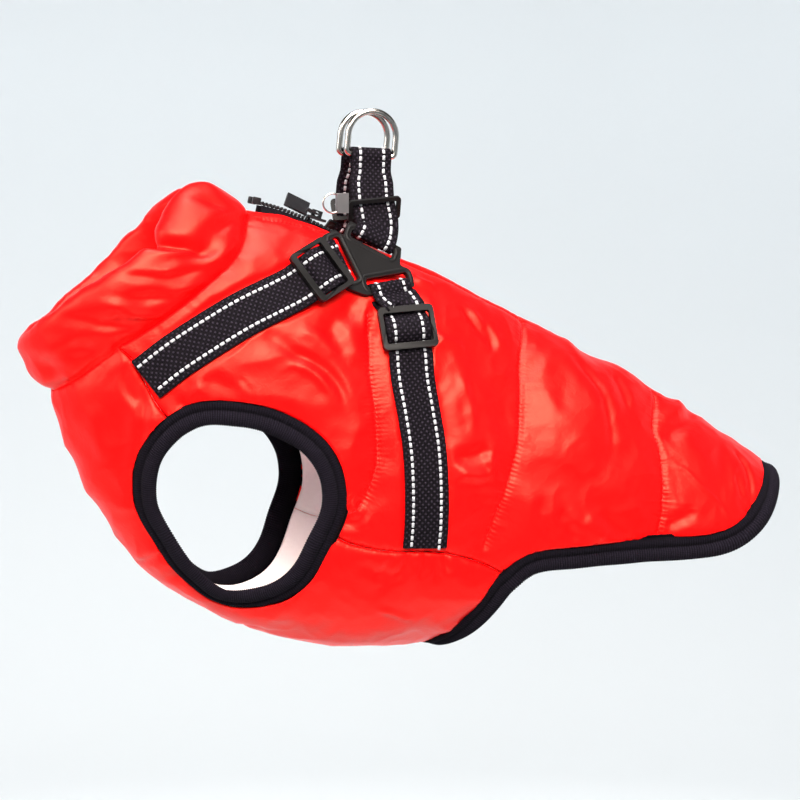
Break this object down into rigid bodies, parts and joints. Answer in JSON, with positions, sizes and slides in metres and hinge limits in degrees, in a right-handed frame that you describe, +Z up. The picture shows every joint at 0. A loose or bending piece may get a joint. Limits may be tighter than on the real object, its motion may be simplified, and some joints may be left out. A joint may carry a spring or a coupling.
{
  "type": "dog jacket",
  "caption": "Hollow padded dog jacket, filled out as when worn, with a back zip, high collar, ribbed armholes and hem, and a webbing harness with leash rings.",
  "frame": {"origin": "inside the back at the withers, on the lining's inner face under the two leash rings, where the wearer's back holds the jacket up", "axes": "-X towards the head, +X towards the tail, -Y the wearer's left, +Z up, as worn standing"},
  "size_m": [0.4467, 0.1258, 0.3066],
  "materials": {
    "shell": "red nylon taffeta with a soft sheen, quilted over wadding",
    "lining": "pale pink brushed fleece",
    "rib": "black ribbed knit",
    "webbing": "charcoal nylon webbing with reflective stitches",
    "zip_tape": "black woven tape",
    "plastic": "black acetal, satin",
    "nickel": "polished nickel plate"
  },
  "bodies": {
    "jacket": {"armhole_rib_left": "rib", "armhole_rib_right": "rib", "back_panel_left": "shell", "back_panel_right": "shell", "chest_adjuster_left": "plastic", "chest_adjuster_right": "plastic", "chest_strap_left": "webbing", "chest_strap_right": "webbing", "collar": "shell", "girth_adjuster_left": "plastic", "girth_adjuster_right": "plastic", "girth_strap_left": "webbing", "girth_strap_right": "webbing", "hem_rib": "rib", "junction_left": "plastic", "junction_right": "plastic", "keeper_left": "plastic", "keeper_right": "plastic", "keeper_tag": "nickel", "lining_back_left": "lining", "lining_back_right": "lining", "lining_underside": "lining", "ring_strap_left": "webbing", "ring_strap_right": "webbing", "underside_panel": "shell", "wire_ring": "nickel", "zip_chain_left": "plastic", "zip_chain_right": "plastic", "zip_slider": "plastic", "zip_stop_left": "plastic", "zip_stop_right": "plastic", "zip_tape_left": "zip_tape", "zip_tape_right": "zip_tape"},
    "ring_left": {"leash_ring_left": "nickel"},
    "ring_right": {"leash_ring_right": "nickel"},
    "pull": {"zip_pull": "plastic"}
  },
  "joints": [
    {"name": "leash_ring_left_swing", "type": "hinge", "parent": "jacket", "child": "ring_left", "pos_m": [0.001, -0.0095, 0.0582], "axis": [0.9954, 0, -0.0958], "range_deg": [-10, 140]},
    {"name": "leash_ring_right_swing", "type": "hinge", "parent": "jacket", "child": "ring_right", "pos_m": [0.001, 0.0095, 0.0582], "axis": [-0.9954, 0, 0.0958], "range_deg": [-10, 140]},
    {"name": "zip_pull_swing", "type": "hinge", "parent": "jacket", "child": "pull", "pos_m": [-0.02771, 0, 0.02529], "axis": [0, 1, 0], "range_deg": [0, 120]}
  ]
}
